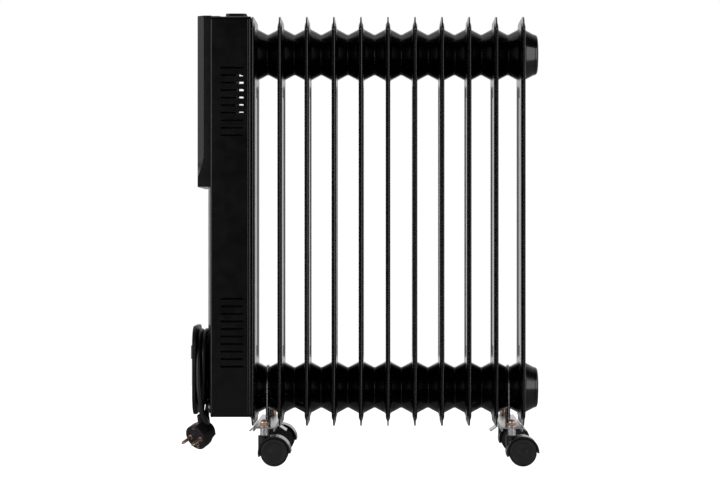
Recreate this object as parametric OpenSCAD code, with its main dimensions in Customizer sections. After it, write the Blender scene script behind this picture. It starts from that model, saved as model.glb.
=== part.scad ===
// Oil filled radiator heater: a row of hollow steel fins joined by two oil
// columns, a control box on the first fin and two foot plates on twin-wheel
// casters. +Z is up, the floor is z = 0, and the fins stand in a row along X.
// The control box is at the low-X end. The row is centred on the origin.

/* [Fins] */
// Number of fins in the row
fin_count = 11; // [5:1:11]
// Distance from one fin to the next
fin_pitch = 38; // [34:1:48]
// Height of a fin
fin_h = 575; // [440:1:700]
// Width of a fin across the row
fin_w = 150; // [130:1:200]
// Height of the fins' lower edge above the floor
fin_lift = 50; // [48:1:80]
// Thickness of the welded seam round a fin
seam_t = 2; // [1.6:0.1:3]
// Thickness of the hem along a fin's upright edges
hem_t = 3; // [2:0.1:5]
// Width of the hem
hem_w = 4; // [2:0.5:6]
// Outside thickness of a fin over its oil channel
channel_t = 6.6; // [5.6:0.1:9]
// Width of the oil channel
channel_w = 116; // [96:1:120]
// Radius of a fin's corners
fin_corner_r = 25; // [10:1:40]
// Thickness of the sheet steel
sheet_t = 1.2; // [0.8:0.1:1.6]

/* [Oil columns] */
// Lower column's axis above the fins' lower edge
low_column_rise = 51; // [48:0.5:70]
// Upper column's axis below the fins' upper edge
high_column_drop = 49.5; // [46:0.5:70]
// Radius of a collar where it rises from the fin
collar_r = 36.5; // [34:0.5:42]
// Radius of the weld between two collars
waist_r = 28.5; // [24:0.5:32]
// Thickness of the pressed cap on a column's end
cap_t = 4.6; // [3:0.1:8]

/* [Control box] */
// Width of the control box
box_w = 156; // [152:1:200]
// Depth of the control box's side walls
box_depth = 55.7; // [52:0.1:70]
// Gap from the box to the middle of the first fin
box_gap = 1.8; // [1.6:0.1:4]
// Height of the box's floor above the fins' lower edge
box_rise = 14; // [12:0.5:30]
// Distance from the fins' upper edge down to the box's top
box_drop = 1.6; // [1:0.1:4]
// Thickness of the box's sheet
box_t = 1.2; // [0.8:0.1:2]
// How far the front panel bows out at its middle
panel_bow = 8; // [5:0.5:9]
// Radius of the box's rounded upper and lower corners
box_corner_r = 5; // [2:0.5:8]

/* [Vents] */
// Slots in each group
vent_rows = 10; // [4:1:12]
// Length of a slot
vent_l = 32.4; // [20:0.1:36]
// Height of a slot
vent_h = 3; // [2:0.1:4]
// Distance from one slot to the next
vent_pitch = 10.5; // [8:0.1:12]
// Distance from the box's rear edge to the middle of the slots
vent_inset = 25.7; // [20:0.1:30]
// Distance from the box's top to the middle of the upper group
high_vent_drop = 119; // [90:1:140]
// Distance from the box's floor to the middle of the lower group
low_vent_rise = 118; // [90:1:140]

/* [Controls] */
// Height of the control fascia
fascia_h = 238; // [200:1:260]
// Width of the control fascia
fascia_w = 150; // [140:1:150]
// How far the fascia stands out from the box's front corners
fascia_reach = 19; // [16:0.5:24]
// Depth of the fascia's side bevel
fascia_bevel = 9; // [5:0.5:12]
// Wall thickness of the fascia
fascia_t = 2.4; // [2:0.1:3]
// How far the fascia's lip runs back over the box
lip_l = 13; // [8:0.5:16]
// Diameter of the thermostat knob
knob_d = 50; // [36:1:56]
// How far the knob stands out from the fascia
knob_reach = 4; // [2:0.5:5]
// Depth of the well round the knob
well_depth = 6; // [4:0.5:7]
// Distance from the box's top down to the knob
knob_drop = 172; // [165:1:190]
// Turn of the thermostat knob, in degrees
knob_turn = 270; // [180:5:300]
// Distance from the box's top down to the rocker switches
rocker_drop = 84; // [70:1:100]
// Distance between the two rocker switches
rocker_gap = 40; // [34:1:60]
// Height of a rocker
rocker_h = 21; // [16:1:24]
// Width of a rocker
rocker_w = 14; // [10:1:18]
// Angle from one stop of a rocker to the other
rocker_turn = 18; // [10:1:24]
// Diameter of the pilot light
pilot_d = 8; // [5:0.5:12]

/* [Carry grip] */
// Length of the grip across the box
grip_w = 100; // [90:1:120]
// Depth of the grip along the row
grip_l = 29; // [26:0.5:32]
// Height of the grip above the box
grip_h = 6.6; // [4:0.1:10]
// Depth of the finger pocket below the box's top
pocket_depth = 11; // [8:1:12]
// Wall thickness of the grip
grip_t = 3; // [2:0.5:4]

/* [Cord reel] */
// Height of the reel's flange
flange_h = 125; // [116:1:150]
// Width of the reel's flange
flange_w = 124; // [116:1:150]
// Thickness of the reel's flange
flange_t = 5.3; // [3:0.1:7]
// Height of the wound cord
wrap_h = 100; // [90:1:110]
// Width of the wound cord
wrap_w = 104; // [94:1:112]
// Layers of cord on the reel
wrap_layers = 2; // [1:1:2]
// Diameter of the cord
cord_d = 6.8; // [6:0.1:7]
// How far the plug clip stands out from the flange
clip_reach = 5.9; // [5.5:0.1:10]
// Height of the plug clip
clip_h = 19; // [12:0.5:24]

/* [Plug] */
// Diameter of the plug's face
plug_d = 37; // [35:0.5:39]
// Depth of the plug's body behind its face
plug_depth = 30; // [26:0.5:34]
// Diameter of a contact pin
pin_d = 4.8; // [4.8:0.1:4.9]
// Length of a contact pin
pin_l = 19; // [18:0.5:20]
// Distance between the contact pins
pin_gap = 19; // [18:0.5:20]

/* [Feet] */
// Length of a foot plate across the row
foot_l = 236; // [220:1:280]
// Width of a foot plate
foot_w = 30; // [24:0.5:31]
// Thickness of a foot plate
foot_t = 2; // [1.5:0.1:3]
// Height of a foot plate's folded lips
foot_lip = 5.6; // [4:0.1:8]
// Distance between the left and right casters
caster_gap = 214; // [200:1:250]
// Diameter of the clamp rod
rod_d = 4; // [3:0.5:5]

/* [Casters] */
// Radius of a wheel
wheel_r = 19; // [17:0.5:19.5]
// Width of a wheel
wheel_w = 13.5; // [10:0.5:14]
// Distance from the stem's axis to the axle
trail = 14.5; // [11:0.5:16]
// Gap between a wheel and its hood
hood_gap = 1; // [0.6:0.1:2]
// Thickness of the hood
hood_t = 2.5; // [1.5:0.1:3]
// Width of the web between the two wheels
web_w = 10; // [9:0.5:14]
// Radius of the swivel stem
stem_r = 3.5; // [3:0.1:3.6]
// Radius of the axle
axle_r = 3; // [2:0.1:3.5]
// Clearance of the running fits, on the radius
run_fit = 0.05; // [0.02:0.01:0.1]
// Clearance between pieces that only pass each other
pass_fit = 0.3; // [0.2:0.05:0.5]

/* [Hidden] */
$fn = 96;
over = 1;

CORNERS = ["front_left", "front_right", "rear_left", "rear_right"];
function fin_name(i) = str("fin_", i < 10 ? "0" : "", i);

// Places along the row. The reach at each end is counted from the end fins.
reel_gap = 2 * cord_d + 0.4;
front_reach = box_gap + box_depth + panel_bow + reel_gap + flange_t + clip_reach;
rear_reach = fin_pitch / 2 + cap_t;
first_fin_x = (front_reach - rear_reach - (fin_count - 1) * fin_pitch) / 2;
function fin_x(i) = first_fin_x + (i - 1) * fin_pitch;

fin_top_z = fin_lift + fin_h;
low_column_z = fin_lift + low_column_rise;
high_column_z = fin_top_z - high_column_drop;
channel_rise = 9.5;
channel_drop = 7;

box_rear_x = first_fin_x - box_gap;
box_front_x = box_rear_x - box_depth;
box_floor_z = fin_lift + box_rise;
box_top_z = fin_top_z - box_drop;
box_h = box_top_z - box_floor_z;

// The front panel is a shallow arc; its centre lies far behind the box.
panel_chord = box_w - 2 * box_t;
panel_r = (pow(panel_chord / 2, 2) + pow(panel_bow, 2)) / (2 * panel_bow);
panel_x = box_front_x - panel_bow;
panel_axis_x = panel_x + panel_r;
panel_t = 1.2;
panel_trim = 4;

fascia_x = box_front_x - fascia_reach;
fascia_low_z = box_top_z - fascia_h;
lip_t = 1.2;
knob_z = box_top_z - knob_drop;
rocker_z = box_top_z - rocker_drop;
pilot_z = (knob_z + rocker_z) / 2;
well_x = fascia_x + well_depth;

// Casters stand half a pitch in from the end fins.
front_foot_x = first_fin_x + fin_pitch / 2;
rear_foot_x = fin_x(fin_count) - fin_pitch / 2;
foot_top_z = fin_lift + 3.4;
hood_r = wheel_r + hood_gap + hood_t;
hood_top_z = wheel_r + hood_r;
caster_w = web_w + 2 * (wheel_w + 0.6) + 0.8;

flange_x = panel_x - reel_gap - flange_t;
flange_z = box_floor_z + 1 + flange_h / 2;
wrap_front_x = flange_x + flange_t + 0.15;
wrap_l = reel_gap - 0.3;
wrap_r = 37.4;
layer_t = wrap_layers * cord_d;
hub_t = 2;
near_strand_x = panel_x - 0.2 - cord_d / 2;
lead_r = 28;

// ---------------------------------------------------------------- helpers

// Rectangle of two bars and four round corners, centred on the origin.
module round_rect(w, h, r) {
    square([w - 2 * r, h], center = true);
    square([w, h - 2 * r], center = true);
    for (x = [-1, 1], y = [-1, 1])
        translate([x * (w / 2 - r), y * (h / 2 - r)]) circle(r = r);
}

// Extrusion along X of an outline drawn in Y and Z.
module along_x(l) {
    rotate([90, 0, 90]) linear_extrude(height = l) children();
}

// Extrusion along Y of an outline drawn in X and Z, centred on y = 0.
module along_y(l) {
    translate([0, l / 2, 0]) rotate([90, 0, 0]) linear_extrude(height = l) children();
}

// Cylinder along X, starting at x = 0.
module bar_x(l, r1, r2) {
    rotate([0, 90, 0]) cylinder(h = l, r1 = r1, r2 = r2);
}

// Cylinder along Y, centred on y = 0.
module bar_y(l, r) {
    rotate([90, 0, 0]) cylinder(h = l, r = r, center = true);
}

// Space in front of an arc that is parallel to the front panel.
module inside_panel(inset) {
    translate([panel_axis_x, 0, 0]) cylinder(h = 2000, r = panel_r - inset, center = true, $fn = 360);
}

// ------------------------------------------------------------------- fins

// One side's two conical collars, swollen by grow, from the middle of the fin.
module collars(grow, extra) {
    half = fin_pitch / 2;
    root = channel_t / 2;
    for (z = [low_column_z, high_column_z]) translate([0, 0, z]) {
        bar_x(root + 0.01, collar_r + grow, collar_r + grow);
        translate([root, 0, 0]) bar_x(half - root, collar_r + grow, waist_r + grow);
        if (extra > 0) translate([half - 0.01, 0, 0]) bar_x(extra, waist_r + grow, waist_r + grow);
    }
}

module fin_slab(w, low, high, r, t) {
    translate([-t / 2, 0, (low + high) / 2]) along_x(t) round_rect(w, high - low, r);
}

module fin(i) {
    color([0.03, 0.03, 0.035]) translate([fin_x(i), 0, 0]) difference() {
        union() {
            fin_slab(fin_w, fin_lift, fin_top_z, fin_corner_r, seam_t);
            for (side = [-1, 1])
                translate([-hem_t / 2, side * (fin_w / 2 - hem_w / 2) - hem_w / 2, fin_lift + fin_corner_r])
                    cube([hem_t, hem_w, fin_h - 2 * fin_corner_r]);
            fin_slab(channel_w, fin_lift + channel_rise, fin_top_z - channel_drop, fin_corner_r - 3, channel_t);
            collars(0, 0);
            mirror([1, 0, 0]) collars(0, 0);
        }
        fin_slab(channel_w - 2 * sheet_t, fin_lift + channel_rise + sheet_t,
                 fin_top_z - channel_drop - sheet_t, fin_corner_r - 3 - sheet_t, channel_t - 2 * sheet_t);
        collars(-sheet_t, over);
        mirror([1, 0, 0]) collars(-sheet_t, over);
    }
}

// Pressed caps: two close the columns at the rear, one closes the upper
// column inside the control box. The lower front end takes the element.
module column_cap() {
    rim = 2.6;
    rotate([0, 90, 0]) rotate_extrude() polygon(concat(
        [[0, 0], [waist_r, 0], [waist_r, cap_t - rim - 0.8]],
        [for (a = [15 : 15 : 75]) [waist_r - rim + rim * cos(a), cap_t - rim - 0.8 + rim * sin(a)]],
        [[waist_r - rim, cap_t - 0.8], [0, cap_t]]));
}

module column_caps() {
    color([0.03, 0.03, 0.035]) {
        for (z = [low_column_z, high_column_z])
            translate([fin_x(fin_count) + fin_pitch / 2, 0, z]) column_cap();
        translate([fin_x(1) - fin_pitch / 2, 0, high_column_z]) mirror([1, 0, 0]) column_cap();
    }
}

// -------------------------------------------------------- heating element

tube_r = 4.2;
bend_r = 11;
tube_drop = 9;
gasket_t = 1;
element_flange_t = 5;
element_end_x = fin_x(fin_count) - 1.5 * fin_pitch;

module heating_element() {
    face_x = fin_x(1) - fin_pitch / 2 - gasket_t;
    color("silver") translate([0, 0, low_column_z]) {
        difference() {
            translate([face_x - element_flange_t, 0, 0]) bar_x(element_flange_t, waist_r, waist_r);
            for (y = [-1, 1], z = [-1, 1])
                translate([face_x - element_flange_t - over, y * bend_r, z * tube_drop])
                    bar_x(element_flange_t + 2 * over, tube_r, tube_r);
        }
        for (z = [-1, 1]) translate([0, 0, z * tube_drop]) {
            for (y = [-1, 1]) translate([face_x - element_flange_t, y * bend_r, 0]) {
                bar_x(element_end_x - face_x + element_flange_t, tube_r, tube_r);
                translate([-14, 0, 0]) bar_x(14.01, 1.6, 1.6);
            }
            translate([element_end_x, 0, 0]) rotate([0, 0, -90])
                rotate_extrude(angle = 180) translate([bend_r, 0]) circle(r = tube_r, $fn = 32);
        }
    }
}

module element_gasket() {
    color("tan") translate([fin_x(1) - fin_pitch / 2 - gasket_t, 0, low_column_z]) difference() {
        bar_x(gasket_t, waist_r, waist_r);
        translate([-over, 0, 0]) bar_x(gasket_t + 2 * over, waist_r - sheet_t - 4, waist_r - sheet_t - 4);
    }
}

// ------------------------------------------------------------ control box

module box_outline(inset) {
    translate([0, (box_floor_z + box_top_z) / 2])
        round_rect(box_w - 2 * inset, box_h - 2 * inset, box_corner_r - inset);
}

module vent_slots() {
    span = (vent_rows - 1) * vent_pitch;
    for (mid = [box_top_z - high_vent_drop, box_floor_z + low_vent_rise], i = [0 : vent_rows - 1])
        translate([box_rear_x - vent_inset, 0, mid - span / 2 + i * vent_pitch])
            along_y(box_w + 2 * over) round_rect(vent_l, vent_h, vent_h / 2 - 0.01, $fn = 16);
}

// Notch in the box's floor, clear of the first fin's channel and collar.
floor_notch = 3;

// Pocket in the box's top that the carry grip drops into.
grip_x = box_rear_x - 7.5 - grip_l / 2;

module housing_shell() {
    color([0.03, 0.03, 0.03]) difference() {
        translate([box_front_x, 0, 0]) along_x(box_depth) box_outline(0);
        translate([box_front_x - over, 0, 0]) along_x(box_depth + 2 * over) box_outline(box_t);
        vent_slots();
        translate([first_fin_x - channel_t / 2 - floor_notch, -channel_w / 2 - 1, box_floor_z - over])
            cube([channel_t, channel_w + 2, box_t + 2 * over]);
        translate([grip_x, 0, box_top_z])
            cube([grip_l - 2 * grip_t + 0.1, grip_w - 2 * grip_t + 0.1, 20], center = true);
    }
}

module front_panel() {
    low = box_floor_z + box_t + panel_trim;
    color([0.03, 0.03, 0.03]) difference() {
        intersection() {
            inside_panel(0);
            translate([panel_x - over, -panel_chord / 2, low])
                cube([panel_bow + panel_t + over, panel_chord, box_top_z - box_t - 4 - low]);
        }
        inside_panel(panel_t);
        translate([panel_x, 0, knob_z]) cube([60, 44, 44], center = true);
        translate([panel_x, 0, rocker_z]) cube([60, rocker_gap + 28, 36], center = true);
        translate([panel_x, 0, pilot_z]) cube([60, 14, 14], center = true);
    }
}

// Outline of the fascia seen from above, drawn in X and Y.
module fascia_outline(inset) {
    half = fascia_w / 2 - inset;
    front = fascia_x + inset;
    bevel = inset > 0 ? fascia_bevel - inset * 0.6 : fascia_bevel;
    polygon([[box_front_x + over, -half], [front + bevel, -half], [front, -half + bevel],
             [front, half - bevel], [front + bevel, half], [box_front_x + over, half]]);
}

module fascia_shell() {
    difference() {
        translate([0, 0, fascia_low_z]) linear_extrude(height = fascia_h + lip_t) fascia_outline(0);
        translate([0, 0, fascia_low_z + fascia_t])
            linear_extrude(height = fascia_h + lip_t - 2 * fascia_t) fascia_outline(fascia_t);
        intersection() {
            inside_panel(-0.05);
            translate([panel_x - over, -box_w / 2, 0]) cube([60, box_w, box_top_z]);
        }
    }
    translate([box_front_x - 0.02, -fascia_w / 2 + 6, box_top_z]) cube([lip_l, fascia_w - 12, lip_t]);
}

rocker_pivot_x = fascia_x + 4.6;
rocker_room = sqrt(pow(rocker_h / 2, 2) + pow(5.5, 2)) + 0.4;
switch_h = 2 * rocker_room + 3;
switch_w = rocker_w + 1 + 4;

module control_fascia() {
    color([0.12, 0.12, 0.12]) difference() {
        union() {
            fascia_shell();
            translate([fascia_x + 0.5, 0, knob_z]) bar_x(well_depth + 1.5, knob_d / 2 + 5, knob_d / 2 + 5);
        }
        translate([fascia_x - over, 0, knob_z]) bar_x(well_depth + over, knob_d / 2 + 3, knob_d / 2 + 3);
        translate([fascia_x, 0, knob_z]) bar_x(30, 5, 5);
        for (side = [-1, 1]) translate([fascia_x, side * rocker_gap / 2, rocker_z])
            cube([12, switch_w + 0.1, switch_h + 0.1], center = true);
        translate([fascia_x - over, 0, pilot_z]) bar_x(8, pilot_d / 2 + 0.05, pilot_d / 2 + 0.05);
    }
}

module carry_grip() {
    color([0.04, 0.04, 0.04]) translate([grip_x, 0, 0]) difference() {
        union() {
            translate([0, 0, box_top_z]) linear_extrude(height = grip_h) round_rect(grip_l, grip_w, 6);
            translate([0, 0, box_top_z - pocket_depth - grip_t])
                linear_extrude(height = pocket_depth + grip_t + 0.01)
                    square([grip_l - 2 * grip_t, grip_w - 2 * grip_t], center = true);
        }
        translate([0, 0, box_top_z - pocket_depth])
            linear_extrude(height = pocket_depth + grip_h + over)
                round_rect(grip_l - 4 * grip_t + 2, grip_w - 4 * grip_t + 2, 3);
    }
}

// --------------------------------------------------------------- controls

thermostat_front_x = well_x + 3;

module thermostat() {
    body_w = 30;
    color([0.75, 0.72, 0.66]) difference() {
        union() {
            translate([thermostat_front_x + 8, -body_w / 2, knob_z - body_w / 2])
                cube([chassis_web_x - 1.7 - thermostat_front_x - 8, body_w, body_w]);
            translate([thermostat_front_x, 0, knob_z]) bar_x(8.01, 4.6, 4.6);
        }
        translate([thermostat_front_x - over, 0, knob_z]) bar_x(19, axle_r + run_fit, axle_r + run_fit);
    }
}

// The knob rests at its low stop, half its turn back from upright.
module thermostat_knob() {
    back_x = well_x - 0.6;
    reach = back_x - fascia_x + knob_reach;
    color([0.08, 0.08, 0.08]) translate([back_x, 0, knob_z]) {
        translate([-reach, 0, 0]) difference() {
            bar_x(reach, knob_d / 2 - 1, knob_d / 2);
            rotate([-knob_turn / 2, 0, 0]) for (side = [-1, 1])
                translate([-over, side * (knob_d / 4 + 3), 0])
                    along_x(knob_reach + over) round_rect(knob_d / 2 - 8, knob_d * 0.62, 4);
        }
        translate([-0.01, 0, 0]) bar_x(thermostat_front_x + 16 - back_x, axle_r, axle_r);
    }
}

// Both rockers rest with their upper half pressed in, half a turn from level.
module rocker(side) {
    translate([rocker_pivot_x, side * rocker_gap / 2, rocker_z]) rotate([0, -rocker_turn / 2, 0]) {
        along_y(rocker_w) translate([-5.5, -rocker_h / 2]) square([7.5, rocker_h]);
        bar_y(rocker_w + 1 + 2 * 1.5, 1.4);
    }
}

module rocker_low() {
    color([0.6, 0.1, 0.08]) rocker(-1);
}

module rocker_high() {
    color([0.6, 0.1, 0.08]) rocker(1);
}

module switch_bodies() {
    rear_x = box_front_x + 26;
    color([0.1, 0.1, 0.1]) for (side = [-1, 1])
        translate([0, side * rocker_gap / 2, rocker_z]) difference() {
            union() {
                translate([fascia_x - 1.4, 0, 0]) along_x(1.4) round_rect(switch_w + 5, switch_h + 5, 2);
                translate([fascia_x - 0.01, -switch_w / 2, -switch_h / 2])
                    cube([rear_x - fascia_x, switch_w, switch_h]);
            }
            translate([fascia_x - 3, -rocker_w / 2 - 0.5, -rocker_room])
                cube([rocker_pivot_x - fascia_x + 3 + 6, rocker_w + 1, 2 * rocker_room]);
            translate([rocker_pivot_x, 0, 0]) bar_y(rocker_w + 1 + 2 * 1.7, 1.4 + run_fit);
        }
}

module pilot_lens() {
    color([0.8, 0.2, 0.1]) translate([fascia_x - 1, 0, pilot_z]) {
        bar_x(7, pilot_d / 2, pilot_d / 2);
        bar_x(1, pilot_d / 2 + 0.6, pilot_d / 2 + 1);
    }
}

// -------------------------------------------------------- inside the box

chassis_w = 84;
chassis_step_z = high_column_z - 92;
chassis_web_x = fin_x(1) - fin_pitch / 2 - cap_t - 1.2;
chassis_low_z = box_floor_z + 16;
chassis_top_z = box_top_z - 32;
chassis_web_low_z = low_column_z + collar_r + 12;

module inner_chassis() {
    cheek_t = 1;
    color("lightgray") {
        intersection() {
            inside_panel(panel_t);
            for (side = [-1, 1]) translate([0, side * (chassis_w - cheek_t) / 2, 0])
                along_y(cheek_t) polygon([
                    [panel_x, chassis_low_z], [box_rear_x - 8, chassis_low_z],
                    [box_rear_x - 8, chassis_step_z], [chassis_web_x, chassis_step_z],
                    [chassis_web_x, chassis_top_z], [panel_x, chassis_top_z]]);
        }
        translate([chassis_web_x - 1, -chassis_w / 2, chassis_web_low_z])
            cube([1, chassis_w, chassis_top_z - chassis_web_low_z]);
    }
}

block_z = low_vent_rise + box_floor_z + 10;

module terminal_block() {
    color([0.9, 0.9, 0.85]) translate([chassis_web_x - 1 - 16, -24, block_z]) difference() {
        cube([16, 48, 22]);
        for (i = [0 : 3]) translate([-over, 6 + i * 12, 15]) bar_x(10, 2.6, 2.6);
    }
}

module thermal_cutout() {
    color("silver") translate([chassis_web_x - 1 - 9, 0, block_z + 70]) {
        bar_x(9, 8, 8);
        for (side = [-1, 1]) translate([2, side * 5, 8]) cube([0.8, 4, 9], center = true);
    }
}

module tip_switch() {
    color([0.15, 0.15, 0.15]) translate([chassis_web_x - 1 - 14, -chassis_w / 2 + 6, block_z - 26])
        cube([14, 20, 12]);
}

// Three insulated leads rise from the terminal block to the switches.
module wiring() {
    top_z = rocker_z - switch_h / 2 - 6;
    colours = ["brown", "royalblue", "yellowgreen"];
    rise = [top_z - block_z - 22, 30, top_z - block_z - 22];
    for (i = [0 : 2]) color(colours[i]) translate([chassis_web_x - 6, -20 + i * 20, block_z + 22]) {
        cylinder(h = rise[i], r = 1.5, $fn = 24);
        translate([-14, 0, rise[i]]) bar_x(14, 1.5, 1.5, $fn = 24);
        translate([0, 0, rise[i]]) sphere(r = 1.5, $fn = 24);
    }
}

// -------------------------------------------------------------- cord reel

module wrap_outline(inset) {
    round_rect(wrap_w - 2 * inset, wrap_h - 2 * inset, wrap_r - inset);
}

// Hub wall that the cord is wound on, open on one side for the cord to enter.
module cord_reel() {
    inset = layer_t + 0.2;
    color([0.05, 0.05, 0.05]) difference() {
        translate([flange_x + flange_t, 0, flange_z])
            along_x(reel_gap + panel_bow) difference() {
                wrap_outline(inset);
                wrap_outline(inset + hub_t);
            }
        inside_panel(0);
        translate([flange_x, -wrap_w / 2, flange_z - lead_r / 2]) cube([40, 30, lead_r + 10]);
    }
}

module reel_flange() {
    color([0.05, 0.05, 0.05]) difference() {
        translate([flange_x, 0, flange_z]) along_x(flange_t) round_rect(flange_w, flange_h, 30);
        translate([flange_x - over, 0, flange_z]) along_x(over + 1.4) round_rect(flange_w - 14, flange_h - 14, 24);
    }
}

// Strip clip on the flange that holds the plug's pins when the cord is stowed.
clip_z = flange_z + 24;
clip_t = 1.2;

module plug_clip() {
    color([0.08, 0.08, 0.08]) translate([flange_x - clip_reach, 0, clip_z])
        along_y(12) difference() {
            translate([0, -clip_h / 2]) square([clip_reach + 1.4, clip_h]);
            translate([clip_t, -clip_h / 2 + clip_t]) square([clip_reach + 2, clip_h - 2 * clip_t]);
        }
}

// Outlet inside the hub: a block on the panel and a tapered sleeve.
outlet_z = flange_z + 17;
sleeve_l = 24;
sleeve_tip_y = -(wrap_w / 2 - layer_t + cord_d / 2) + lead_r;

module strain_relief() {
    color([0.07, 0.07, 0.07]) difference() {
        union() {
            translate([near_strand_x - 5, sleeve_tip_y + sleeve_l, outlet_z - 7]) cube([20, 12, 14]);
            translate([near_strand_x, sleeve_tip_y, outlet_z]) rotate([-90, 0, 0])
                cylinder(h = sleeve_l + 1, r1 = cord_d / 2 + 0.6, r2 = cord_d / 2 + 1.6);
        }
        inside_panel(-0.02);
    }
}

// Wound cord as one body, with the bend that brings the cord to it.
module cord_wrap() {
    color([0.1, 0.1, 0.1]) {
        translate([wrap_front_x, 0, flange_z]) along_x(wrap_l) difference() {
            wrap_outline(0);
            wrap_outline(layer_t);
        }
        translate([near_strand_x, sleeve_tip_y, outlet_z - lead_r]) rotate([0, -90, 0])
            rotate([0, 0, -90]) rotate_extrude(angle = 90)
                translate([lead_r, 0]) circle(r = cord_d / 2 - 0.1, $fn = 32);
    }
}

// Points that the loose end follows from the winding to the plug. They are
// counted along the row from the outer face of the reel's flange.
cord_route = [
    [8.85, 48.6, 122], [8.85, 49.5, 142], [8.85, 44, 163], [8.85, 30, 177],
    [8.85, 11, 181.4], [8.85, -12, 181.4], [8.85, -32, 177], [8.85, -48, 165],
    [9.05, -58, 148], [9.25, -62.5, 128], [9.75, -64.5, 108], [11.75, -64.5, 88],
    [14.75, -60.5, 71], [17.85, -52.5, 60], [19.75, -39.5, 53.5], [19.25, -23, 54],
    [16.75, -6, 60], [15.45, 10, 66], [15.25, 26, 71.5], [15.85, 42, 81.5],
    [15.85, 53, 96.5], [15.85, 57, 115], [15.85, 56.5, 136], [15.85, 51, 156],
    [15.85, 38, 172.5], [15.85, 19, 181], [15.85, -5, 181.6], [15.85, -24, 179.6],
    [15.85, -41, 170.5], [15.85, -52.5, 155], [15.85, -56.5, 136], [15.85, -57, 115],
    [15.25, -53, 96.5], [13.75, -43, 82.5], [11.75, -30, 73.5], [10.25, -19.5, 64.5],
    [10.75, -13.5, 55]];
ring_sides = 10;

function lerp(a, b, t) = a * (1 - t) + b * t;
function at(path, i) = path[max(0, min(len(path) - 1, i))];
function between(path, i) =
    (9 * (at(path, i) + at(path, i + 1)) - at(path, i - 1) - at(path, i + 2)) / 16;
function finer(path) = [for (k = [0 : 2 * (len(path) - 1)])
    k % 2 == 0 ? path[k / 2] : between(path, (k - 1) / 2)];
function unit(v) = v / norm(v);
function heading(path, i) = unit(at(path, i + 1) - at(path, i - 1));

// Round tube of radius r that follows a list of points.
module tube(path, r) {
    n = len(path);
    sides = [for (i = 0, u = unit(cross(heading(path, 0), [1, 0, 0])); i < n;
                  i = i + 1, u = i < n ? unit(u - (u * heading(path, i)) * heading(path, i)) : u) u];
    rings = [for (i = [0 : n - 1])
        let (t = heading(path, i), u = sides[i], v = cross(t, u))
            [for (k = [0 : ring_sides - 1])
                let (a = 360 * k / ring_sides) path[i] + r * (cos(a) * u + sin(a) * v)]];
    points = [for (ring = rings, p = ring) p];
    walls = [for (i = [0 : n - 2], k = [0 : ring_sides - 1])
        let (a = i * ring_sides + k, b = i * ring_sides + (k + 1) % ring_sides)
            each [[a, b, b + ring_sides], [a, b + ring_sides, a + ring_sides]]];
    start = [for (k = [ring_sides - 1 : -1 : 0]) k];
    end = [for (k = [0 : ring_sides - 1]) (n - 1) * ring_sides + k];
    polyhedron(points = points, faces = concat([start], walls, [end]));
}

module cord_tail() {
    color([0.1, 0.1, 0.1]) translate([flange_x, 0, 0]) tube(finer(cord_route), cord_d / 2);
}

// ------------------------------------------------------------------- plug

// The plug hangs with its pins down and outwards. In its own frame the pins
// point along +X, lie side by side in Y, and the cord enters from +Z.
plug_face = [flange_x + 1.55, -18, 30];
plug_turn = [-6, 25, 229];
boot_back = 20;
pin_root_r = pin_d / 2 - 0.5;
pin_well = 0.6;

module in_plug() {
    translate(plug_face) rotate(plug_turn) children();
}

module plug_body() {
    color([0.12, 0.12, 0.12]) in_plug() difference() {
        union() {
            translate([-plug_depth * 0.55, 0, 0]) bar_x(plug_depth * 0.55, plug_d / 2 - 0.5, plug_d / 2);
            translate([-plug_depth, 0, 0]) bar_x(plug_depth * 0.45 + 0.01, 12, plug_d / 2 - 2);
            translate([-boot_back, 0, 0]) cylinder(h = 27, r1 = 8, r2 = 5);
        }
        for (side = [-1, 1]) {
            translate([-12, side * pin_gap / 2, 0]) bar_x(13, pin_root_r, pin_root_r);
            translate([-pin_well, side * pin_gap / 2, 0]) bar_x(2, pin_d / 2 + 1.6, pin_d / 2 + 1.6);
            translate([-13, -3, side * (plug_d / 2 - 1)]) translate([0, 0, -1.5]) cube([14, 6, 3]);
        }
        translate([-14, 0, -9.5]) bar_x(15, 2.6, 2.6);
    }
}

module plug_contacts() {
    color([0.8, 0.62, 0.5]) in_plug() {
        for (side = [-1, 1]) {
            translate([-12, side * pin_gap / 2, 0]) bar_x(12.01, pin_root_r, pin_root_r);
            translate([0, side * pin_gap / 2, 0]) bar_x(pin_l - 1.5, pin_d / 2, pin_d / 2);
            translate([pin_l - 1.5, side * pin_gap / 2, 0]) bar_x(1.5, pin_d / 2, pin_d / 2 - 1);
            translate([-12.8, -2.6, side * (plug_d / 2 - 2) - 0.5]) cube([12.4, 5.2, 1]);
        }
    }
}

// ------------------------------------------------------------------- feet

rod_gap = waist_r + 0.3 + rod_d / 2;
wing_w = 40;
wing_span = 53;

module foot_plate(x) {
    color("silver") translate([x, 0, 0]) difference() {
        union() {
            translate([-foot_w / 2, -foot_l / 2, foot_top_z - foot_t]) cube([foot_w, foot_l, foot_t]);
            for (side = [-1, 1]) translate([side * (foot_w - foot_t) / 2, 0, foot_top_z - foot_lip / 2])
                cube([foot_t, foot_l, foot_lip], center = true);
            along_y(wing_w) for (side = [-1, 1]) polygon([
                [side * (foot_w / 2 - foot_t), foot_top_z - foot_lip + 0.2],
                [side * foot_w / 2, foot_top_z - foot_lip + 0.2],
                [side * wing_span / 2, foot_top_z - 13], [side * (wing_span / 2 - 1.6), foot_top_z - 14]]);
        }
        for (side = [-1, 1]) {
            translate([0, side * caster_gap / 2, foot_top_z - 10]) cylinder(h = 20, r = 4.05);
            translate([0, side * rod_gap, foot_top_z - 10]) cylinder(h = 20, r = rod_d / 2 + 0.1);
        }
    }
}

module foot_plate_front() {
    foot_plate(front_foot_x);
}

module foot_plate_rear() {
    foot_plate(rear_foot_x);
}

rod_low_z = foot_top_z - 8;

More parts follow.
